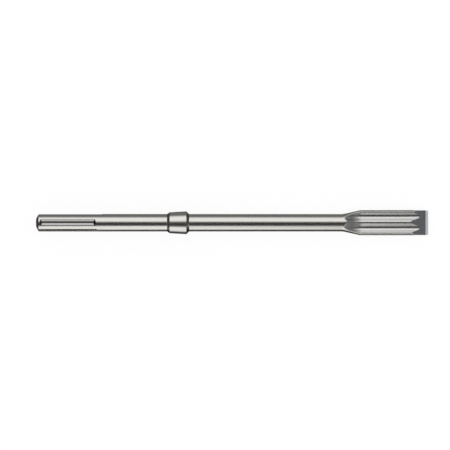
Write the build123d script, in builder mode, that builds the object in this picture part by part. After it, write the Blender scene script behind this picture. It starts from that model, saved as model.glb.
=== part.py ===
from build123d import *

import os
from math import atan2, cos, degrees, hypot, radians, sin, sqrt, tan

# A flat chisel for a large rotary hammer: one bar of steel, turned, forged and ground.
# It is drawn along X, from the butt at X = 0 to the cutting edge, with the blade's width
# along Y and its two fluted faces up and down. Then it is laid on a level surface as it
# comes to rest, on its collar and on the front end of its bar, cutting edge towards +X.
# Lengths are in millimetres and angles in degrees.

# Bar, and the crowned butt that the hammer strikes
overall_length = 400.0
bar_diameter = 18.0
butt_face_diameter = 7.6
butt_length = 2.8
butt_crown = 0.35

# Closed recesses for the locking balls, one above and one below
recess_start = 3.8
recess_length = 57.3
recess_depth = 2.3
recess_ball_radius = 4.2
recess_end_slope = 42.0

# Open grooves that the hammer's drive splines enter: one at +Y, a pair about -Y
groove_width = 5.4
groove_depth = 2.75
groove_length = 68.3
groove_pair_length = 63.5
groove_pair_angle = 27.0

# Collar, which grows towards the blade and ends in two cones
collar_start = 133.6
collar_length = 19.8
collar_rear_diameter = 21.6
collar_front_diameter = 23.4
collar_rear_cone_length = 2.7
collar_front_cone_angle = 45.0
collar_edge_radius = 0.35
collar_root_radius = 0.8

# Flare, where the round bar spreads to the width of the blade
blade_width = 25.6
blade_length = 69.4
flare_length = 19.3
flare_softness = 0.12
flare_stations = 6

# Two flutes on each face, with a ridge between them a little to one side, that run out up a
# ramp to the bar
flute_margin = 6.9
flute_offset = 0.55
flute_floor_thickness = 5.75
flute_root_radius = 4.8
flute_flank_angle = 33.0
ridge_radius = 3.3
blade_crest_radius = 0.9
ramp_crest_radius = 0.5
ramp_setback = 1.8
ramp_radius = 35.0

# Ground bevels, steeper edge strip, and sides trimmed to the width of the cut
bevel_half_angle = 13.9
edge_half_angle = 25.0
edge_strip_length = 2.65
edge_thickness = 0.2
trim_length = 15.4
trim_depth = 0.2
trim_taper = 1.6
corner_relief = 0.35

# How far a cutter reaches past what it cuts, how far the forging die turns up, the most of
# a flute's flank that the rounding of its root takes, and the least angle of a sharp edge
overcut = 1.0
die_turn = 40.0
flank_share = 0.9
sharp_angle = 2.0

# Sizes that follow from the ones above
bar_radius = bar_diameter / 2
blade_half_width = blade_width / 2
collar_front_radius = collar_front_diameter / 2
collar_front_edge = collar_start + collar_length
collar_end = collar_front_edge + (collar_front_radius - bar_radius) / tan(radians(collar_front_cone_angle))
flare_end = overall_length - blade_length
flare_start = flare_end - flare_length
ramp_foot = flare_end + ramp_setback


def flare_half_width(share):
    """Half width of the flare at a share of its length: a soft start, then nearly straight."""
    rise = hypot(share, flare_softness) - flare_softness
    full_rise = hypot(1, flare_softness) - flare_softness
    return bar_radius + (blade_half_width - bar_radius) * rise / full_rise


# Locking recess above the bar: round across, with a sloping wall at each end
recess_end = recess_start + recess_length
recess_floor = bar_radius - recess_depth
recess_axis = recess_floor + recess_ball_radius
recess_end_reach = (recess_axis - recess_floor) / tan(radians(recess_end_slope))
recess_end_overlap = (recess_axis - bar_radius) / tan(radians(recess_end_slope))

with BuildPart() as recess:
    with BuildSketch(Plane.XZ):
        with BuildLine():
            Polyline(
                (recess_start - recess_end_overlap, recess_axis),
                (recess_start - recess_end_overlap + recess_end_reach, recess_floor),
                (recess_end + recess_end_overlap - recess_end_reach, recess_floor),
                (recess_end + recess_end_overlap, recess_axis),
                close=True,
            )
        make_face()
    extrude(amount=recess_ball_radius, both=True)
    with BuildSketch(Plane.YZ.offset(recess_start - recess_end_overlap), mode=Mode.PRIVATE) as bore:
        with Locations((0, recess_axis)):
            Circle(recess_ball_radius)
    extrude(bore.sketch, amount=recess_length + 2 * recess_end_overlap, mode=Mode.INTERSECT)


def drive_groove(length):
    """Drive groove above the bar: a flat floor, open at the butt, with a round front end."""
    with BuildPart() as groove:
        with BuildSketch(Plane.XY.offset(bar_radius - groove_depth)):
            SlotCenterToCenter(2 * length - groove_width, groove_width)
        extrude(amount=groove_depth + overcut)
    return groove.part


# Forging die for the upper face: the section of the flutes, straight along the blade and
# then turned up a ramp. The section is rounded in its two roots and on its ridge.
flute_centre = blade_half_width - flute_margin
flute_floor = flute_floor_thickness / 2
flank_slope = tan(radians(flute_flank_angle))
rounding_rise = 1 / cos(radians(flute_flank_angle)) - 1
flank_room = flute_centre / sin(radians(flute_flank_angle)) - ridge_radius
root_radius = min(flute_root_radius, flank_share * flank_room)
root_height = flute_floor - root_radius * rounding_rise
ridge_corner = root_height + flute_centre * flank_slope
ridge_top = ridge_corner - ridge_radius * rounding_rise
die_top = bar_radius + overcut
die_half_width = flute_centre + (die_top - root_height) / flank_slope
ramp_axis_height = flute_floor + ramp_radius

with BuildPart() as die:
    with BuildSketch(Plane.YZ.offset(ramp_foot)) as die_section:
        with BuildLine():
            Polyline(
                (-die_half_width, die_top),
                (-flute_centre, root_height),
                (0, ridge_corner),
                (flute_centre, root_height),
                (die_half_width, die_top),
                close=True,
            )
        make_face()
        corners = die_section.vertices().group_by(Axis.Y)
        fillet(corners[0], root_radius)
        corners = die_section.vertices().sort_by_distance((0, ridge_corner))
        fillet(corners[0], ridge_radius)
    extrude(die_section.sketch, amount=overall_length + overcut - ramp_foot)
    revolve(
        die_section.sketch,
        axis=Axis((ramp_foot, 0, ramp_axis_height), (0, 1, 0)),
        revolution_arc=die_turn,
    )

# Grinding, seen from the side: bevel and edge strip, cut right across the blade
edge_half_thickness = edge_thickness / 2
strip_start = overall_length - edge_strip_length
strip_half_thickness = edge_half_thickness + edge_strip_length * tan(radians(edge_half_angle))
bevel_run = (die_top - strip_half_thickness) / tan(radians(bevel_half_angle))
trim_start = overall_length - trim_length
cut_half_width = blade_half_width - trim_depth


def is_sharp(shape, edge):
    """Whether the faces that meet in an edge stand at an angle to each other there."""
    normals = [face.normal_at(edge @ 0.5) for face in shape.faces() if edge in face.edges()]
    return normals[0].get_angle(normals[-1]) > sharp_angle


def crests(shape, start, end):
    """Sharp edges where the flutes meet the sides and the bar, between two places along it."""
    curved = shape.edges().filter_by(GeomType.BSPLINE).filter_by_position(Axis.X, start, end)
    raised = curved.filter_by(
        lambda edge: edge.bounding_box().min.Z * edge.bounding_box().max.Z > flute_floor**2
    )
    return raised.filter_by(lambda edge: is_sharp(shape, edge))


with BuildPart() as tool:
    # Butt, shank, collar and bar in one turned profile
    with BuildSketch(Plane.XZ):
        with BuildLine():
            face = Line((0, 0), (0, butt_face_diameter / 2))
            crown = SagittaArc(face @ 1, (butt_length, bar_radius), butt_crown)
            Polyline(
                crown @ 1,
                (collar_start, bar_radius),
                (collar_start + collar_rear_cone_length, collar_rear_diameter / 2),
                (collar_front_edge, collar_front_radius),
                (collar_end, bar_radius),
                (flare_start, bar_radius),
                (flare_start, 0),
                face @ 0,
            )
        make_face()
    revolve(axis=Axis.X)
    rings = tool.edges().filter_by(GeomType.CIRCLE).filter_by_position(
        Axis.X, collar_start, collar_end
    )
    fillet(rings.group_by(Axis.X)[0] + rings.group_by(Axis.X)[-1], collar_root_radius)
    rings = tool.edges().filter_by(GeomType.CIRCLE).filter_by(
        lambda ring: ring.radius > collar_rear_diameter / 2 - overcut / 2
    )
    fillet(rings, collar_edge_radius)

    # Flare and blade, before they are fluted
    with BuildSketch(Plane.YZ.offset(flare_start)):
        Circle(bar_radius)
    for station in range(1, flare_stations + 1):
        share = station / flare_stations
        with BuildSketch(Plane.YZ.offset(flare_start + share * flare_length)):
            Ellipse(flare_half_width(share), bar_radius)
    loft()
    with BuildSketch(Plane.YZ.offset(flare_end)):
        Ellipse(blade_half_width, bar_radius)
    extrude(amount=overall_length - flare_end)

    # Flutes and ramps, above and below. The crests are rounded along the blade, and then
    # wherever they are still sharp up the ramp.
    with Locations((0, flute_offset, 0), Location((0, flute_offset, 0), (180, 0, 0))):
        add(die.part, mode=Mode.SUBTRACT)
    fillet(crests(tool, flare_end, overall_length), blade_crest_radius)
    ramp_crests = crests(tool, flare_start, flare_end)
    if ramp_crests:
        fillet(ramp_crests, ramp_crest_radius)

    # Bevels and edge strip
    with BuildSketch(Plane.XZ):
        with BuildLine():
            Polyline(
                (strip_start - bevel_run, die_top),
                (strip_start, strip_half_thickness),
                (overall_length, edge_half_thickness),
                (overall_length + overcut, edge_half_thickness),
                (overall_length + overcut, die_top),
                close=True,
            )
        make_face()
        mirror(about=Plane.XZ)
    extrude(amount=blade_half_width + overcut, both=True, mode=Mode.SUBTRACT)

    # Sides trimmed along the bevel, and relieved at the two corners of the edge
    with BuildSketch(Plane.XY):
        with BuildLine():
            Polyline(
                (trim_start, blade_half_width),
                (trim_start + trim_taper, cut_half_width),
                (strip_start, cut_half_width),
                (overall_length, cut_half_width - corner_relief),
                (overall_length + overcut, cut_half_width - corner_relief),
                (overall_length + overcut, blade_half_width + overcut),
                (trim_start, blade_half_width + overcut),
                close=True,
            )
        make_face()
        mirror(about=Plane.XZ)
    extrude(amount=die_top, both=True, mode=Mode.SUBTRACT)

    # Locking recesses above and below, then drive grooves at +Y and about -Y
    with Locations((0, 0, 0), Location((0, 0, 0), (180, 0, 0))):
        add(recess.part, mode=Mode.SUBTRACT)
    with Locations(Location((0, 0, 0), (-90, 0, 0))):
        add(drive_groove(groove_length), mode=Mode.SUBTRACT)
    for turn in (90 - groove_pair_angle, 90 + groove_pair_angle):
        with Locations(Location((0, 0, 0), (turn, 0, 0))):
            add(drive_groove(groove_pair_length), mode=Mode.SUBTRACT)

# At rest: nose down until the collar's front edge and the bar's front end both touch, with
# the origin under the middle of the whole length
ridge_path_radius = ramp_axis_height - ridge_top + ridge_radius - sqrt(ridge_radius**2 - flute_offset**2)
bar_end = ramp_foot - sqrt(ridge_path_radius**2 - (ramp_axis_height - bar_radius) ** 2)
rest_tilt = degrees(atan2(collar_front_radius - bar_radius, bar_end - collar_front_edge))
tilted_box = tool.part.moved(Location((0, 0, 0), (0, rest_tilt, 0))).bounding_box()

with BuildPart() as chisel:
    with Locations(Location((-tilted_box.center().X, 0, -tilted_box.min.Z), (0, rest_tilt, 0))):
        add(tool.part)

chisel.part.label = "chisel"

os.makedirs("parts", exist_ok=True)
export_step(chisel.part, "parts/chisel.step")
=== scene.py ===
from math import asin, atan2, cos, hypot, pi, radians, sin, sqrt, tan

import bmesh
import bpy
from bpy.props import FloatProperty, FloatVectorProperty, IntProperty, PointerProperty
from mathutils import Matrix, Vector


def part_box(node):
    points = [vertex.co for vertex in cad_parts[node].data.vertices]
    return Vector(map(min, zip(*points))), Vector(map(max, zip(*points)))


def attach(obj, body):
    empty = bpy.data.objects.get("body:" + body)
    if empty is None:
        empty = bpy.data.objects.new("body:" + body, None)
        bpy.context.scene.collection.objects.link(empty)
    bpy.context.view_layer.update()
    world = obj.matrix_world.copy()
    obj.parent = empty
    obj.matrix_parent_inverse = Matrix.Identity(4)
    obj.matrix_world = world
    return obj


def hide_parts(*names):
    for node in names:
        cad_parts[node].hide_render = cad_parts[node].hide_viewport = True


bl_info = {
    "name": "Hammer Chisel",
    "version": (1, 0, 0),
    "blender": (4, 5, 0),
    "location": "3D View > Sidebar > Chisel",
    "description": "Builds a flat chisel for a rotary hammer, and a white table to show it on",
    "category": "Object",
}

# The tool is drawn along X from the butt at 0 to the cutting edge, with the blade's width
# along Y, and laid down at the end. Lengths are in metres and angles in radians.

MM = 0.001

# How close two points are to count as one, and how close to a point a cut goes through it
SAME_POINT = 1e-6
CUT_TOLERANCE = 1e-7

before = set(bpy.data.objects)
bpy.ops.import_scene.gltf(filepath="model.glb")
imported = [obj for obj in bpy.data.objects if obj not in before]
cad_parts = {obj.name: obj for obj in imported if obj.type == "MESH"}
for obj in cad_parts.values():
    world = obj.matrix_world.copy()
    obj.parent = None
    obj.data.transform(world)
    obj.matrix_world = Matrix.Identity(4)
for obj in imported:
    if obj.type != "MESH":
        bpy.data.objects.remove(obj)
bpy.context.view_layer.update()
cad_low, cad_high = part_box("chisel")


def length(name, description, mm):
    """A length in metres, given in millimetres."""
    return FloatProperty(
        name=name, description=description, default=mm * MM, subtype="DISTANCE", unit="LENGTH"
    )


def angle(name, description, degrees):
    """An angle in radians, given in degrees."""
    return FloatProperty(
        name=name, description=description, default=radians(degrees), subtype="ANGLE"
    )


def share(name, description, value):
    """A number from 0 to 1."""
    return FloatProperty(
        name=name, description=description, default=value, min=0.0, max=1.0, subtype="FACTOR"
    )


def count(name, description, value):
    """A whole number."""
    return IntProperty(name=name, description=description, default=value, min=1)


def colour(name, description, value):
    """A linear colour."""
    return FloatVectorProperty(
        name=name, description=description, default=value, size=3, min=0.0, max=1.0, subtype="COLOR"
    )


class ShankSizes(bpy.types.PropertyGroup):
    """Bar, crowned butt, locking recesses and drive grooves."""

    overall_length: length("Overall length", "From the butt to the cutting edge", 400.0)
    bar_diameter: length("Bar diameter", "Round bar and shank", 18.0)
    butt_face_diameter: length("Butt face", "Flat middle of the butt", 7.6)
    butt_length: length("Butt length", "Along the crowned part", 2.8)
    butt_crown: length("Butt crown", "How far the crown swells past a cone", 0.35)
    recess_start: length("Recess start", "From the butt to a locking recess", 3.8)
    recess_length: length("Recess length", "Along the tool", 57.3)
    recess_depth: length("Recess depth", "Below the round of the bar", 2.3)
    recess_ball_radius: length("Recess radius", "Across a locking recess", 4.2)
    recess_end_slope: angle("Recess end slope", "Of the two end walls from level", 42.0)
    groove_width: length("Groove width", "Across a drive groove", 5.4)
    groove_depth: length("Groove depth", "Below the round of the bar", 2.75)
    groove_length: length("Groove length", "From the butt to the round end", 68.3)
    groove_pair_length: length("Groove pair length", "The same, of the pair about -Y", 63.5)
    groove_pair_angle: angle("Groove pair angle", "Each groove of the pair from level", 27.0)


class CollarSizes(bpy.types.PropertyGroup):
    """Collar that stops the shank in the hammer."""

    start: length("Start", "From the butt to the collar", 133.6)
    length: length("Length", "From the collar's start to its front edge", 19.8)
    rear_diameter: length("Rear diameter", "At the end of the rear cone", 21.6)
    front_diameter: length("Front diameter", "At the front edge", 23.4)
    rear_cone_length: length("Rear cone", "Along the rear cone", 2.7)
    front_cone_angle: angle("Front cone angle", "From the axis", 45.0)
    edge_radius: length("Edge radius", "On the two edges", 0.35)
    root_radius: length("Root radius", "Where the cones meet the bar", 0.8)


class BladeSizes(bpy.types.PropertyGroup):
    """Flare, flutes, ramps, bevels and cutting edge."""

    width: length("Width", "Across the blade", 25.6)
    length: length("Length", "From the end of the flare to the cutting edge", 69.4)
    flare_length: length("Flare length", "Along the flare", 19.3)
    flare_softness: share("Flare softness", "Share of the flare that its soft start takes", 0.12)
    flute_margin: length("Flute margin", "From a flute's middle to the side of the blade", 6.9)
    flute_offset: length("Flute offset", "Of the ridge and its two flutes, towards +Y", 0.55)
    floor_thickness: length("Floor thickness", "Between the floors of two flutes", 5.75)
    root_radius: length("Root radius", "Along the floor of a flute", 4.8)
    flank_angle: angle("Flank angle", "Of a flute's flank from level", 33.0)
    ridge_radius: length("Ridge radius", "On top of the ridge", 3.3)
    crest_blend: length("Crest blend", "Height over which the blade's crests are rounded", 2.0)
    ramp_blend: length("Ramp blend", "Height over which the ramp's crests are rounded", 0.45)
    ramp_setback: length("Ramp setback", "From the end of the flare to the ramp's foot", 1.8)
    ramp_radius: length("Ramp radius", "Of the ramp, seen from the side", 35.0)
    bevel_half_angle: angle("Bevel angle", "Of one bevel from level", 13.9)
    edge_half_angle: angle("Edge angle", "Of one side of the edge strip from level", 25.0)
    edge_strip_length: length("Edge strip", "Along the steeper strip at the edge", 2.65)
    edge_thickness: length("Edge thickness", "Of the blunted cutting edge", 0.2)
    trim_length: length("Trim length", "Along the trimmed sides", 15.4)
    trim_depth: length("Trim depth", "Taken off each side", 0.2)
    trim_taper: length("Trim taper", "Along the start of the trim", 1.6)
    corner_relief: length("Corner relief", "Taken off each corner of the edge", 0.35)


class MeshDetail(bpy.types.PropertyGroup):
    """How finely the round and forged surfaces are divided."""

    ring_points: count("Ring points", "Round the tool", 256)
    recess_points: count("Recess points", "Round the bar that cuts a recess", 128)
    groove_points: count("Groove points", "Round a circle as wide as a groove", 96)
    crown_steps: count("Crown steps", "Along the crown of the butt", 18)
    arc_steps: count("Arc steps", "Along a small rounding", 6)
    ramp_step: length("Ramp step", "Between rings up the ramp", 0.25)
    blade_step: length("Blade step", "Between rings along the blade", 1.5)
    sharp_angle: angle("Sharp angle", "From which an edge is shown sharp", 22.0)
    # Faces steeper than this angle get a dark colour that is painted shade: the collar's cones and
    # the recesses' end walls.
    steep_angle: angle("Steep angle", "From which an end wall or a cone has its own finish", 20.0)


class SteelFinish(bpy.types.PropertyGroup):
    """Colours and roughness of the steel, with painted shade in the cone, ramp and slot end
    colours.
    """

    bar_colour: colour("Bar colour", "Turned and polished bar", (0.73, 0.71, 0.675))
    bar_roughness: share("Bar roughness", "Turned and polished bar", 0.22)
    # The cone colour is painted shade: the collar's cones face along the tool, away from the light,
    # so their steel is painted dark.
    cone_colour: colour("Cone colour", "Two cones of the collar", (0.21, 0.205, 0.195))
    cone_roughness: share("Cone roughness", "Two cones of the collar", 0.25)
    side_colour: colour("Side colour", "Sides of the blade", (0.66, 0.655, 0.64))
    side_roughness: share("Side roughness", "Sides of the blade", 0.5)
    forged_colour: colour("Forged colour", "Flutes", (0.72, 0.71, 0.695))
    forged_roughness: share("Forged roughness", "Flutes", 0.26)
    # The ramp colour is painted shade: the ramps face back towards the shank and catch less light,
    # so their steel is painted darker, fading out into the bright flutes.
    ramp_shade_colour: colour("Ramp colour", "Ramps, which keep a matt skin", (0.25, 0.25, 0.255))
    ramp_roughness: share("Ramp roughness", "Ramps", 0.5)
    ramp_shade_fade: length("Ramp fade", "Along which a ramp's skin turns into bright flutes", 11.0)
    bevel_colour: colour("Bevel colour", "Ground bevels", (0.525, 0.555, 0.60))
    bevel_roughness: share("Bevel roughness", "Ground bevels", 0.26)
    edge_colour: colour("Edge colour", "Steeper strip at the cutting edge", (0.83, 0.84, 0.85))
    edge_roughness: share("Edge roughness", "Steeper strip at the cutting edge", 0.65)
    slot_colour: colour("Slot colour", "Locking recesses", (0.49, 0.48, 0.465))
    slot_roughness: share("Slot roughness", "Locking recesses", 0.18)
    # The slot end colour is painted shade: the steep end walls of the recesses are painted near
    # black, as the pits stay in shade.
    slot_end_colour: colour("Slot end colour", "Ends of the recesses", (0.06, 0.06, 0.06))
    slot_end_roughness: share("Slot end roughness", "Ends of the recesses", 0.34)
    groove_colour: colour("Groove colour", "Drive grooves", (0.72, 0.71, 0.69))
    groove_roughness: share("Groove roughness", "Drive grooves", 0.38)


class StageSettings(bpy.types.PropertyGroup):
    """Table, light and camera."""

    floor_size: length("Table size", "Side of the table", 8000.0)
    floor_glow: share("Table glow", "Share of the table's white that no shadow darkens", 0.90)
    floor_paint: share("Table paint", "Brightness of the table where it takes a shadow", 0.92)
    sky_level: FloatProperty(
        name="Sky level", description="Of the white surroundings", default=1.12, subtype="FACTOR"
    )
    camera_focal: FloatProperty(
        name="Focal length", description="Of the camera", default=300.0, subtype="DISTANCE_CAMERA"
    )
    camera_sensor: FloatProperty(
        name="Sensor width", description="Of the camera", default=36.0, subtype="DISTANCE_CAMERA"
    )
    camera_reach: length("Camera reach", "Furthest that the camera sees", 20000.0)
    camera_lean: angle("Camera lean", "From upright, square to the tool as it lies", 0.946)
    picture_width: length("Picture width", "Across the picture, at the tool's axis", 459.1)
    centre_x: length("Picture centre X", "Of the picture, along the tool", -7.25)
    centre_y: length("Picture centre Y", "Of the picture, across the tool", -2.35)


def sizes():
    """The four groups that shape the tool."""
    scene = bpy.context.scene
    return scene.chisel_shank, scene.chisel_collar, scene.chisel_blade, scene.chisel_mesh


def new_object(name, bm):
    """A mesh object at the origin, made of a bmesh, which is freed."""
    mesh = bpy.data.meshes.new(name)
    bm.to_mesh(mesh)
    bm.free()
    made = bpy.data.objects.new(name, mesh)
    bpy.context.scene.collection.objects.link(made)
    return made


def sweep_rings(bm, stations, points, height=0.0):
    """A closed body along X through (x, half width, half height), from a ring drawn on."""
    x, half_width, half_height = stations[0]
    made = bmesh.ops.create_circle(
        bm, cap_ends=True, segments=points, radius=1.0, matrix=Matrix.Rotation(pi / 2, 4, "Y")
    )
    verts = made["verts"]
    bmesh.ops.scale(bm, vec=(1.0, half_width, half_height), verts=verts)
    bmesh.ops.translate(bm, vec=(x, 0.0, height), verts=verts)
    edges = list({edge for vert in verts for edge in vert.link_edges})
    for x_new, width_new, height_new in stations[1:]:
        drawn = bmesh.ops.extrude_edge_only(bm, edges=edges)["geom"]
        verts = [item for item in drawn if isinstance(item, bmesh.types.BMVert)]
        edges = [
            item
            for item in drawn
            if isinstance(item, bmesh.types.BMEdge) and all(v in verts for v in item.verts)
        ]
        bmesh.ops.scale(
            bm,
            vec=(1.0, width_new / half_width, height_new / half_height),
            space=Matrix.Translation((0.0, 0.0, -height)),
            verts=verts,
        )
        bmesh.ops.translate(bm, vec=(x_new - x, 0.0, 0.0), verts=verts)
        x, half_width, half_height = x_new, width_new, height_new
    bmesh.ops.contextual_create(bm, geom=edges)


def steps(start, end, step):
    """Places from just past the start up to the end, about a step apart."""
    number = max(1, round((end - start) / step))
    return [start + (end - start) * index / number for index in range(1, number + 1)]


def crowned_butt(shank, number):
    """Profile of the butt as (x, radius): a flat middle, and an arc from there to the bar."""
    bar = shank.bar_diameter / 2
    face = shank.butt_face_diameter / 2
    chord = hypot(shank.butt_length, bar - face)
    crown_radius = (chord**2 / 4 + shank.butt_crown**2) / (2 * shank.butt_crown)
    half_turn = asin(chord / 2 / crown_radius)
    lean = atan2(bar - face, shank.butt_length)
    profile = [(0.0, face)]
    for index in range(1, number + 1):
        turn = -half_turn + 2 * half_turn * index / number
        across = crown_radius * (cos(turn) - cos(half_turn))
        along = chord / 2 + crown_radius * sin(turn)
        x = along * cos(lean) - across * sin(lean)
        profile.append((x, face + along * sin(lean) + across * cos(lean)))
    return profile


def rounded_corner(before, corner, after, radius, number):
    """Points round a corner of a flat outline, on an arc that touches both of its sides."""
    corner, before, after = Vector(corner), Vector(before), Vector(after)
    to_before = (before - corner).normalized()
    to_after = (after - corner).normalized()
    half_turn = (pi - to_before.angle(to_after)) / 2
    middle = (to_before + to_after).normalized()
    centre = corner + middle * radius / cos(half_turn)
    across = (to_after - to_before).normalized()
    turns = [half_turn * (2 * index / number - 1) for index in range(number + 1)]
    return [tuple(centre - middle * radius * cos(t) + across * radius * sin(t)) for t in turns]


def turned_stations():
    """Rings of the turned bar from the butt over the collar to the flare."""
    shank, collar, _, detail = sizes()
    bar = shank.bar_diameter / 2
    front = collar.front_diameter / 2
    rear = collar.rear_diameter / 2
    front_edge = collar.start + collar.length
    corners = [
        (collar.start, bar, collar.root_radius),
        (collar.start + collar.rear_cone_length, rear, collar.edge_radius),
        (front_edge, front, collar.edge_radius),
        (front_edge + (front - bar) / tan(collar.front_cone_angle), bar, collar.root_radius),
    ]
    profile = crowned_butt(shank, detail.crown_steps)
    ends = [profile[-1], *[(x, r) for x, r, _ in corners], (flare_start(), bar)]
    for before, (x, r, radius), after in zip(ends, corners, ends[2:]):
        profile += rounded_corner(before, (x, r), after, radius, detail.arc_steps)
    profile.append((flare_start(), bar))
    return [(x, r, r) for x, r in profile]


def blade_stations():
    """Rings of the round-ended blank that the blade is forged from, past the cutting edge."""
    shank, _, blade, detail = sizes()
    bar = shank.bar_diameter / 2
    tip = shank.overall_length
    trim_start = tip - blade.trim_length
    ends = (
        flare_end() + blade.ramp_setback,
        trim_start,
        trim_start + blade.trim_taper,
        tip - blade.edge_strip_length,
    )
    places = steps(flare_start(), ends[0], detail.ramp_step)
    for start, end in zip(ends, ends[1:]):
        places += steps(start, end, detail.blade_step)
    places += [tip, tip + blade.edge_strip_length]
    return [(x, side_of_blade(x), bar) for x in places]


def flare_end():
    """Where the blade reaches its full width."""
    shank, _, blade, _ = sizes()
    return shank.overall_length - blade.length


def flare_start():
    """Where the round bar ends."""
    return flare_end() - bpy.context.scene.chisel_blade.flare_length


def side_of_blade(x):
    """Half width of the flare and the blade at a place along the tool."""
    shank, _, blade, _ = sizes()
    bar = shank.bar_diameter / 2
    full = blade.width / 2
    travelled = min(1.0, (x - flare_start()) / blade.flare_length)
    rise = hypot(travelled, blade.flare_softness) - blade.flare_softness
    full_rise = hypot(1.0, blade.flare_softness) - blade.flare_softness
    return bar + (full - bar) * rise / full_rise


def side_limit(x):
    """Half width that grinding leaves at a place along the tool."""
    shank, _, blade, _ = sizes()
    from_edge = shank.overall_length - x
    tapered = (blade.trim_length - from_edge) / blade.trim_taper
    relieved = 1 - from_edge / blade.edge_strip_length
    taken = blade.trim_depth * min(1.0, max(0.0, tapered))
    taken += blade.corner_relief * min(1.0, max(0.0, relieved))
    return blade.width / 2 - taken


def flute_section(y):
    """Height of the blade's fluted face above its middle plane."""
    blade = bpy.context.scene.chisel_blade
    slope = tan(blade.flank_angle)
    rounding_rise = 1 / cos(blade.flank_angle) - 1
    centre = blade.width / 2 - blade.flute_margin
    floor = blade.floor_thickness / 2
    root = floor - blade.root_radius * rounding_rise
    ridge = root + centre * slope - blade.ridge_radius * rounding_rise
    y = abs(y - blade.flute_offset)
    from_centre = abs(y - centre)
    if y < blade.ridge_radius * sin(blade.flank_angle):
        return ridge - blade.ridge_radius + sqrt(blade.ridge_radius**2 - y**2)
    if from_centre < blade.root_radius * sin(blade.flank_angle):
        return floor + blade.root_radius - sqrt(blade.root_radius**2 - from_centre**2)
    return root + from_centre * slope


def fluted_height(x, y):
    """Height of the forging die over a place on the blade or its ramp."""
    blade = bpy.context.scene.chisel_blade
    section = flute_section(y)
    foot = flare_end() + blade.ramp_setback
    if x >= foot:
        return section
    axis_height = blade.floor_thickness / 2 + blade.ramp_radius
    arm = axis_height - section
    back = foot - x
    if back >= arm:
        return axis_height
    return axis_height - sqrt(arm**2 - back**2)


def press_flutes(bm):
    """Forges the flutes and ramps: presses the skin down to the die, with rounded crests."""
    blade = bpy.context.scene.chisel_blade
    start, end = flare_start(), flare_end()
    forged = bm.verts.layers.float.new("forged")
    for vert in bm.verts:
        x, y, z = vert.co
        if x <= start:
            continue
        along = min(1.0, (x - start) / (end - start))
        blend = blade.ramp_blend + (blade.crest_blend - blade.ramp_blend) * along
        die = fluted_height(x, y)
        near = max(0.0, blend - abs(abs(z) - die)) / blend
        pressed = min(abs(z), die) - near**2 * blend / 4
        vert[forged] = 1.0 if die < abs(z) else 0.0
        if pressed < abs(z):
            vert.co.z = pressed if z > 0 else -pressed


def trim_sides(bm):
    """Grinds the sides of the blade flat near the edge."""
    for vert in bm.verts:
        limit = side_limit(vert.co.x)
        if vert.co.x > flare_end() and abs(vert.co.y) > limit:
            vert.co.y = limit if vert.co.y > 0 else -limit


def sort_faces(bm):
    """Gives each face the finish of its place: flutes, sides of the blade, the collar's steep
    faces, whose dark colour is painted shade, or bar.
    """
    _, collar, _, detail = sizes()
    forged = bm.verts.layers.float["forged"]
    bm.normal_update()
    for face in bm.faces:
        x = face.calc_center_median().x
        if sum(vert[forged] for vert in face.verts) > len(face.verts) / 2:
            face.material_index = FORGED
        elif x > flare_end():
            face.material_index = SIDE
        # Steep faces of the collar get the cone colour, which is painted shade.
        elif x > collar.start and abs(face.normal.x) > sin(detail.steep_angle):
            face.material_index = SHADED_CONE


def grind(bm, point, normal, finish):
    """Cuts the blank off at a plane and closes it with one flat face of that finish."""
    geom = [*bm.verts, *bm.edges, *bm.faces]
    cut = bmesh.ops.bisect_plane(
        bm, geom=geom, dist=CUT_TOLERANCE, plane_co=point, plane_no=normal, clear_outer=True
    )["geom_cut"]
    rim = [item for item in cut if isinstance(item, bmesh.types.BMEdge)]
    made = bmesh.ops.contextual_create(bm, geom=rim)["faces"]
    for face in made:
        face.material_index = finish


def grind_edge(bm):
    """Grinds both bevels, both sides of the edge strip and the blunted edge."""
    shank, _, blade, _ = sizes()
    tip = shank.overall_length
    half_edge = blade.edge_thickness / 2
    strip_start = tip - blade.edge_strip_length
    strip_half = half_edge + blade.edge_strip_length * tan(blade.edge_half_angle)
    planes = (
        (strip_start, strip_half, blade.bevel_half_angle, BEVEL),
        (tip, half_edge, blade.edge_half_angle, EDGE),
    )
    for x, height, tilt, finish in planes:
        for side in (1, -1):
            grind(bm, (x, 0, side * height), (sin(tilt), 0, side * cos(tilt)), finish)
    grind(bm, (tip, 0, 0), (1, 0, 0), EDGE)


def recess_cutter():
    """Round bar of a locking recess along the top of the shank, with a slope at each end."""
    shank, _, _, detail = sizes()
    radius = shank.recess_ball_radius
    bar = shank.bar_diameter / 2
    tilt = shank.recess_end_slope
    start = shank.recess_start
    end = start + shank.recess_length
    spare = 2 * radius
    stations = [(start - spare, radius, radius), (end + spare, radius, radius)]
    bm = bmesh.new()
    sweep_rings(bm, stations, detail.recess_points, bar - shank.recess_depth + radius)
    grind(bm, (start, 0, bar), (-sin(tilt), 0, -cos(tilt)), SLOT)
    grind(bm, (end, 0, bar), (sin(tilt), 0, -cos(tilt)), SLOT)
    return bm


def groove_cutter(reach):
    """Bar of a drive groove along the top of the shank, with a flat floor and a round end."""
    shank, _, _, detail = sizes()
    radius = shank.groove_width / 2
    floor = shank.bar_diameter / 2 - shank.groove_depth
    bm = bmesh.new()
    made = bmesh.ops.create_circle(
        bm, cap_ends=True, segments=detail.groove_points, radius=radius
    )["verts"]
    behind = [vert for vert in made if vert.co.x < -SAME_POINT]
    bmesh.ops.translate(bm, vec=(reach - radius, 0.0, floor), verts=made)
    for vert in behind:
        vert.co.x = -shank.groove_depth
    risen = bmesh.ops.extrude_face_region(bm, geom=list(bm.faces))["geom"]
    verts = [item for item in risen if isinstance(item, bmesh.types.BMVert)]
    bmesh.ops.translate(bm, vec=(0.0, 0.0, 2 * shank.groove_depth), verts=verts)
    return bm


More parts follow.
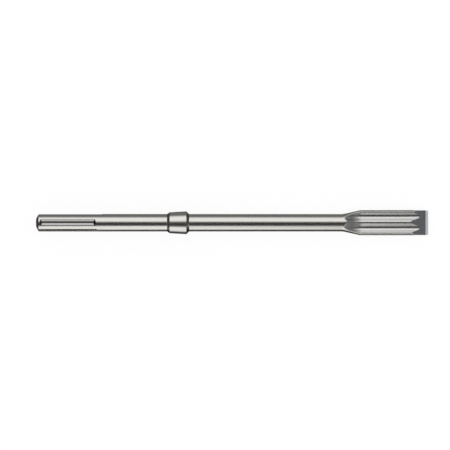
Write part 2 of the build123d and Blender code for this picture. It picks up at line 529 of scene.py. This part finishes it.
def cut_away(tool, cutter):
    """Cuts one object out of the tool with its finishes, and deletes it."""
    cut = tool.modifiers.new("slot", "BOOLEAN")
    cut.operation = "DIFFERENCE"
    cut.solver = "EXACT"
    cut.material_mode = "TRANSFER"
    cut.object = cutter
    graph = bpy.context.evaluated_depsgraph_get()
    milled = bpy.data.meshes.new_from_object(tool.evaluated_get(graph))
    tool.modifiers.clear()
    tool.data = milled
    bpy.data.objects.remove(cutter)


def mill_slots(tool):
    """Cuts the two locking recesses and the three drive grooves out of the shank, and paints shade
    on the recesses' steep end walls.
    """
    shank, _, _, detail = sizes()
    pair = pi / 2 - shank.groove_pair_angle
    cutters = [(recess_cutter(), turn, SLOT, SHADED_SLOT_END) for turn in (0.0, pi)]
    cutters.append((groove_cutter(shank.groove_length), -pi / 2, GROOVE, GROOVE))
    for turn in (pair, pi - pair):
        cutters.append((groove_cutter(shank.groove_pair_length), turn, GROOVE, GROOVE))
    for bm, turn, finish, end_finish in cutters:
        bmesh.ops.remove_doubles(bm, verts=bm.verts, dist=SAME_POINT)
        bmesh.ops.rotate(bm, matrix=Matrix.Rotation(turn, 3, "X"), verts=bm.verts)
        bmesh.ops.recalc_face_normals(bm, faces=bm.faces)
        for face in bm.faces:
            face.smooth = True
            # Steep end walls take the second finish, which for a recess is painted shade.
            face.material_index = int(abs(face.normal.x) > sin(detail.steep_angle))
        cutter = new_object("slot_cutter", bm)
        for slot in (finish, end_finish):
            cutter.data.materials.append(tool.data.materials[slot])
        cut_away(tool, cutter)


def lay_down(mesh):
    """Turns the tool nose down until its collar and bar touch, and sets it on the frame."""
    shank, collar, blade, _ = sizes()
    bar = shank.bar_diameter / 2
    front = collar.front_diameter / 2
    axis_height = blade.floor_thickness / 2 + blade.ramp_radius
    arm = axis_height - flute_section(0.0)
    bar_end = flare_end() + blade.ramp_setback - sqrt(arm**2 - (axis_height - bar) ** 2)
    tilt = atan2(front - bar, bar_end - collar.start - collar.length)
    mesh.transform(Matrix.Rotation(tilt, 4, "Y"))
    places = [vert.co for vert in mesh.vertices]
    middle = (min(co.x for co in places) + max(co.x for co in places)) / 2
    lowest = min(co.z for co in places)
    shift = Vector(((cad_low.x + cad_high.x) / 2 - middle, 0.0, cad_low.z - lowest))
    mesh.transform(Matrix.Translation(shift))
    return tilt, shift


def shade_smooth(mesh):
    """Shades the round faces smooth, and keeps edges and the outlines of ground faces sharp."""
    mesh.polygons.foreach_set("use_smooth", [True] * len(mesh.polygons))
    mesh.set_sharp_from_angle(angle=bpy.context.scene.chisel_mesh.sharp_angle)
    bm = bmesh.new()
    bm.from_mesh(mesh)
    for edge in bm.edges:
        finishes = {face.material_index for face in edge.link_faces}
        if len(finishes) > 1 and finishes & {BEVEL, EDGE}:
            edge.smooth = False
    bm.to_mesh(mesh)
    bm.free()


# Waves of noise per metre along X, Y and Z: lines round the tool, lines along it, and grain
ACROSS = (2600.0, 0.0, 0.0)
ALONG = (30.0, 900.0, 900.0)
ALL_WAYS = (500.0, 500.0, 500.0)

# For each finish: how its lines run, how deep they are, and how uneven its colour and shine. The
# cone and slot end finishes are dark as painted shade.
FINISHES = {
    "bar": (ACROSS, 2e-7, 0.04),
    "cone": (ACROSS, 1e-6, 0.05),
    "side": (ALL_WAYS, 2e-6, 0.06),
    "forged": (ALL_WAYS, 2e-6, 0.06),
    "bevel": (ALONG, 6e-7, 0.05),
    "edge": (ALONG, 1e-6, 0.05),
    "slot": (ACROSS, 6e-7, 0.05),
    "slot_end": (ACROSS, 1e-6, 0.05),
    "groove": (ACROSS, 1e-6, 0.05),
}
BAR, SHADED_CONE, SIDE, FORGED, BEVEL, EDGE, SLOT, SHADED_SLOT_END, GROOVE = range(len(FINISHES))

# How rich the noise of the lines is, the same of the clouds in the colour and their waves per
# metre, and the stretch of the lines' noise over which the roughness changes
LINE_DETAIL = 3.0
CLOUD_DETAIL = 4.0
CLOUD_WAVES = 90.0
NOISE_LOW, NOISE_HIGH = 0.3, 0.7


def new_material(name):
    """A material, and the tree of its nodes."""
    material = bpy.data.materials.new(name)
    material.use_nodes = True
    return material, material.node_tree


def add_node(tree, kind, inputs=None, **settings):
    """A node with its settings and the values of its inputs."""
    node = tree.nodes.new("ShaderNode" + kind)
    for name, value in settings.items():
        setattr(node, name, value)
    for name, value in (inputs or {}).items():
        node.inputs[name].default_value = value
    return node


def link(tree, source, target):
    """Joins two sockets of a node tree."""
    tree.links.new(source, target)


def fade(tree, place, start, end):
    """A factor that rises smoothly from 0 to 1 as a coordinate goes from start to end."""
    spans = {
        "From Min": min(start, end),
        "From Max": max(start, end),
        "To Min": float(start > end),
        "To Max": float(start < end),
    }
    ramp = add_node(tree, "MapRange", spans, interpolation_type="SMOOTHSTEP")
    link(tree, place, ramp.inputs["Value"])
    return ramp.outputs["Result"]


def steel(name, tint, roughness, line_scale, line_depth, mottle):
    """Steel with fine machining lines, whose coordinates lie along the tool."""
    material, tree = new_material(name)
    shader = tree.nodes["Principled BSDF"]
    shader.inputs["Metallic"].default_value = 1.0
    place = add_node(tree, "TexCoord")
    lines_map = add_node(tree, "Mapping", {"Scale": line_scale})
    lines = add_node(tree, "TexNoise", {"Scale": 1.0, "Detail": LINE_DETAIL})
    link(tree, place.outputs["Object"], lines_map.inputs["Vector"])
    link(tree, lines_map.outputs["Vector"], lines.inputs["Vector"])

    cloud = add_node(tree, "TexNoise", {"Scale": CLOUD_WAVES, "Detail": CLOUD_DETAIL})
    dark = [channel * (1 - mottle) for channel in tint]
    tints = {"A": (*dark, 1.0), "B": (*tint, 1.0)}
    shade = add_node(tree, "Mix", tints, data_type="RGBA")
    link(tree, place.outputs["Object"], cloud.inputs["Vector"])
    link(tree, cloud.outputs["Fac"], shade.inputs["Factor"])
    link(tree, shade.outputs["Result"], shader.inputs["Base Color"])

    spans = {
        "From Min": NOISE_LOW,
        "From Max": NOISE_HIGH,
        "To Min": roughness * (1 - mottle),
        "To Max": roughness * (1 + mottle),
    }
    rough = add_node(tree, "MapRange", spans)
    link(tree, lines.outputs["Fac"], rough.inputs["Value"])
    link(tree, rough.outputs["Result"], shader.inputs["Roughness"])

    bump = add_node(tree, "Bump", {"Strength": 1.0, "Distance": line_depth})
    link(tree, lines.outputs["Fac"], bump.inputs["Height"])
    link(tree, bump.outputs["Normal"], shader.inputs["Normal"])
    return material


def paint_ramp_shade(material, foot):
    """Paints shade on the ramps of the forged steel: a darker colour and a rougher finish, which
    fade out at the ramp's foot.
    """
    finish = bpy.context.scene.chisel_steel
    tree = material.node_tree
    shader = tree.nodes["Principled BSDF"]
    place = add_node(tree, "TexCoord")
    split = add_node(tree, "SeparateXYZ")
    link(tree, place.outputs["Object"], split.inputs[0])
    factor = fade(tree, split.outputs["X"], foot - finish.ramp_shade_fade, foot)
    for name, kind, value in (
        ("Base Color", "RGBA", (*finish.ramp_shade_colour, 1.0)),
        ("Roughness", "FLOAT", finish.ramp_roughness),
    ):
        socket = shader.inputs[name]
        bright = socket.links[0].from_socket
        mix = add_node(tree, "Mix", {"A": value}, data_type=kind)
        link(tree, factor, mix.inputs["Factor"])
        link(tree, bright, mix.inputs["B"])
        link(tree, mix.outputs["Result"], socket)


class CHISEL_OT_forge_tool(bpy.types.Operator):
    """Turns, forges, grinds and mills the whole tool, which is one piece of steel"""

    bl_idname = "chisel.forge_tool"
    bl_label = "Forge Tool"

    def execute(self, context):
        finish = context.scene.chisel_steel
        detail = context.scene.chisel_mesh
        bm = bmesh.new()
        sweep_rings(bm, turned_stations() + blade_stations(), detail.ring_points)
        press_flutes(bm)
        trim_sides(bm)
        sort_faces(bm)
        grind_edge(bm)
        bmesh.ops.recalc_face_normals(bm, faces=bm.faces)
        tool = new_object("chisel_steel", bm)
        for kind, texture in FINISHES.items():
            tint = getattr(finish, kind + "_colour")
            roughness = getattr(finish, kind + "_roughness")
            tool.data.materials.append(steel(kind + "_steel", tint, roughness, *texture))
        mill_slots(tool)
        tilt, shift = lay_down(tool.data)
        ramp_foot = flare_end() + context.scene.chisel_blade.ramp_setback
        paint_ramp_shade(tool.data.materials[FORGED], ramp_foot * cos(tilt) + shift.x)
        shade_smooth(tool.data)
        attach(tool, "root")
        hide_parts("chisel")
        return {"FINISHED"}


def table(name, side, material):
    """A level sheet under the tool."""
    bm = bmesh.new()
    bmesh.ops.create_grid(bm, x_segments=1, y_segments=1, size=side / 2)
    made = new_object(name, bm)
    made.data.materials.append(material)


def table_material(glow, paint):
    """White that shows in the picture and in reflections, and still takes a soft shadow."""
    material, tree = new_material("white_table")
    tree.nodes.clear()
    output = add_node(tree, "OutputMaterial")
    matt = add_node(tree, "BsdfDiffuse", {"Color": (paint, paint, paint, 1.0)})
    shine = add_node(tree, "Emission", {"Strength": 1.0})
    mix = add_node(tree, "MixShader")
    ray = add_node(tree, "LightPath")
    seen = ray.outputs["Is Camera Ray"]
    for kind in ("Is Glossy Ray", "Is Transmission Ray"):
        either = add_node(tree, "Math", operation="ADD", use_clamp=True)
        link(tree, seen, either.inputs[0])
        link(tree, ray.outputs[kind], either.inputs[1])
        seen = either.outputs[0]
    part = add_node(tree, "Math", {1: glow}, operation="MULTIPLY")
    link(tree, seen, part.inputs[0])
    link(tree, part.outputs[0], mix.inputs["Fac"])
    link(tree, matt.outputs[0], mix.inputs[1])
    link(tree, shine.outputs[0], mix.inputs[2])
    link(tree, mix.outputs[0], output.inputs["Surface"])
    return material


# Dark cards that show only in reflections. Each is flat along the axis on which its two
# corners agree. For each: its grey, its low and its high corner, and the widths over which
# it fades away inwards from the low corner and from the high one.
CARDS = {
    "overhead_card": (
        0.04, (-1.0, -1.25, 0.9), (0.95, 0.40, 0.9), (0.35, 0.75, 0), (0.3, 0.42, 0)
    ),
    "nose_card": (0.14, (0.35, -0.7, 0.88), (1.5, 0.7, 0.88), (0.45, 0.3, 0), (0.4, 0.3, 0)),
    "far_card": (0.18, (-1.5, 0.013, MM), (1.5, 0.42, MM), (0, 0.004, 0), (0, 0, 0)),
    "far_card_upright": (0.17, (-1.5, 0.42, 0), (1.5, 0.42, 0.28), (0, 0, 0), (0, 0, 0.25)),
    # The near card is a painted shadow: it stands in for the tool's own shadow on the table beside
    # it, and shows only in reflections.
    "near_shadow_card": (0.05, (-1.5, -0.13, MM), (1.5, -0.012, MM), (0, 0.103, 0), (0, 0, 0)),
    "far_side_card": (0.12, (0.15, 1.4, 0), (1.2, 1.4, 1.6), (0.5, 0, 0), (0.4, 0, 0.5)),
    "near_side_card": (
        0.12, (0.075, -1.4, 0), (1.1, -1.4, 2.0), (0.28, 0, 0), (0.4, 0, 0.4)
    ),
    "butt_card": (0.06, (-0.9, -0.8, 0), (-0.9, 0.8, 0.65), (0, 0.2, 0), (0, 0.2, 0.2)),
    "butt_floor_card": (
        0.06, (-0.5, -0.15, 2 * MM), (-0.2005, 0.15, 2 * MM), (0.1, 0.05, 0), (0.006, 0.05, 0)
    ),
    "nose_end_card": (0.08, (1.3, -0.5, 0), (1.3, 0.5, 0.35), (0, 0.2, 0), (0, 0.2, 0.1)),
}


def card_material(level, low, high, soft_low, soft_high):
    """A dark card of an even grey, whose edges fade away over the given widths."""
    material, tree = new_material("dark_card")
    tree.nodes.clear()
    output = add_node(tree, "OutputMaterial")
    shine = add_node(tree, "Emission", {"Color": (level, level, level, 1.0)})
    clear = add_node(tree, "BsdfTransparent")
    mix = add_node(tree, "MixShader", {"Fac": 1.0})
    place = add_node(tree, "TexCoord")
    split = add_node(tree, "SeparateXYZ")
    link(tree, place.outputs["Object"], split.inputs[0])
    cover = None
    for axis in range(3):
        spans = (
            (low[axis], low[axis] + soft_low[axis]),
            (high[axis], high[axis] - soft_high[axis]),
        )
        for start, end in spans:
            if start == end:
                continue
            factor = fade(tree, split.outputs[axis], start, end)
            if cover:
                product = add_node(tree, "Math", operation="MULTIPLY")
                link(tree, cover, product.inputs[0])
                link(tree, factor, product.inputs[1])
                factor = product.outputs[0]
            cover = factor
    if cover:
        link(tree, cover, mix.inputs["Fac"])
    link(tree, clear.outputs[0], mix.inputs[1])
    link(tree, shine.outputs[0], mix.inputs[2])
    link(tree, mix.outputs[0], output.inputs["Surface"])
    return material


def card(name, level, low, high, soft_low, soft_high):
    """One of the dark cards, hidden from the camera and casting no shadow."""
    size = Vector(high) - Vector(low)
    bm = bmesh.new()
    bmesh.ops.create_grid(bm, x_segments=1, y_segments=1, size=0.5)
    if not size.x:
        bmesh.ops.rotate(bm, matrix=Matrix.Rotation(pi / 2, 3, "Y"), verts=bm.verts)
    elif not size.y:
        bmesh.ops.rotate(bm, matrix=Matrix.Rotation(pi / 2, 3, "X"), verts=bm.verts)
    bmesh.ops.scale(bm, vec=size, verts=bm.verts)
    bmesh.ops.translate(bm, vec=(Vector(low) + Vector(high)) / 2, verts=bm.verts)
    made = new_object(name, bm)
    made.data.materials.append(card_material(level, low, high, soft_low, soft_high))
    made.visible_camera = False
    made.visible_diffuse = False
    made.visible_transmission = False
    made.visible_shadow = False


def white_sky(level):
    """An even white light from all round."""
    world = bpy.data.worlds.new("white_room")
    bpy.context.scene.world = world
    world.use_nodes = True
    sky = world.node_tree.nodes["Background"]
    sky.inputs["Color"].default_value = (1.0, 1.0, 1.0, 1.0)
    sky.inputs["Strength"].default_value = level


def look_down(stage):
    """A camera far above the tool, square to it as it lies."""
    lens = bpy.data.cameras.new("camera")
    lens.lens = stage.camera_focal
    lens.sensor_width = stage.camera_sensor
    lens.clip_end = stage.camera_reach
    camera = bpy.data.objects.new("camera", lens)
    bpy.context.scene.collection.objects.link(camera)
    centre = Vector((stage.centre_x, stage.centre_y, (cad_low.z + cad_high.z) / 2))
    distance = stage.picture_width * lens.lens / lens.sensor_width
    away = distance * Vector((sin(stage.camera_lean), 0.0, cos(stage.camera_lean)))
    camera.location = centre + away
    camera.rotation_euler.y = stage.camera_lean
    bpy.context.scene.camera = camera


class CHISEL_OT_set_stage(bpy.types.Operator):
    """Lays a white table, hangs the dark cards and sets the light and the camera"""

    bl_idname = "chisel.set_stage"
    bl_label = "Set Stage"

    def execute(self, context):
        stage = context.scene.chisel_stage
        table("table", stage.floor_size, table_material(stage.floor_glow, stage.floor_paint))
        for name, settings in CARDS.items():
            card(name, *settings)
        white_sky(stage.sky_level)
        look_down(stage)
        context.scene.view_settings.view_transform = "Standard"
        return {"FINISHED"}


class CHISEL_PT_tool(bpy.types.Panel):
    """Lists the sizes, the finishes and the two steps"""

    bl_label = "Hammer Chisel"
    bl_idname = "CHISEL_PT_tool"
    bl_space_type = "VIEW_3D"
    bl_region_type = "UI"
    bl_category = "Chisel"

    def draw(self, context):
        layout = self.layout
        for group in GROUPS:
            box = layout.box()
            box.label(text=group.__doc__)
            settings = getattr(context.scene, GROUPS[group])
            for name in group.__annotations__:
                box.prop(settings, name)
        for operator in OPERATORS:
            layout.operator(operator.bl_idname)


GROUPS = {
    ShankSizes: "chisel_shank",
    CollarSizes: "chisel_collar",
    BladeSizes: "chisel_blade",
    MeshDetail: "chisel_mesh",
    SteelFinish: "chisel_steel",
    StageSettings: "chisel_stage",
}
OPERATORS = (CHISEL_OT_forge_tool, CHISEL_OT_set_stage)


def register():
    """Registers the classes and hangs the groups of sizes on the scene."""
    for cls in (*GROUPS, *OPERATORS, CHISEL_PT_tool):
        bpy.utils.register_class(cls)
    for group, name in GROUPS.items():
        setattr(bpy.types.Scene, name, PointerProperty(type=group))


def unregister():
    """Takes away what register added."""
    for name in GROUPS.values():
        delattr(bpy.types.Scene, name)
    for cls in (CHISEL_PT_tool, *OPERATORS, *GROUPS):
        bpy.utils.unregister_class(cls)


def main():
    """Builds the tool and its stage."""
    register()
    bpy.ops.chisel.forge_tool()
    bpy.ops.chisel.set_stage()


if __name__ == "__main__":
    main()
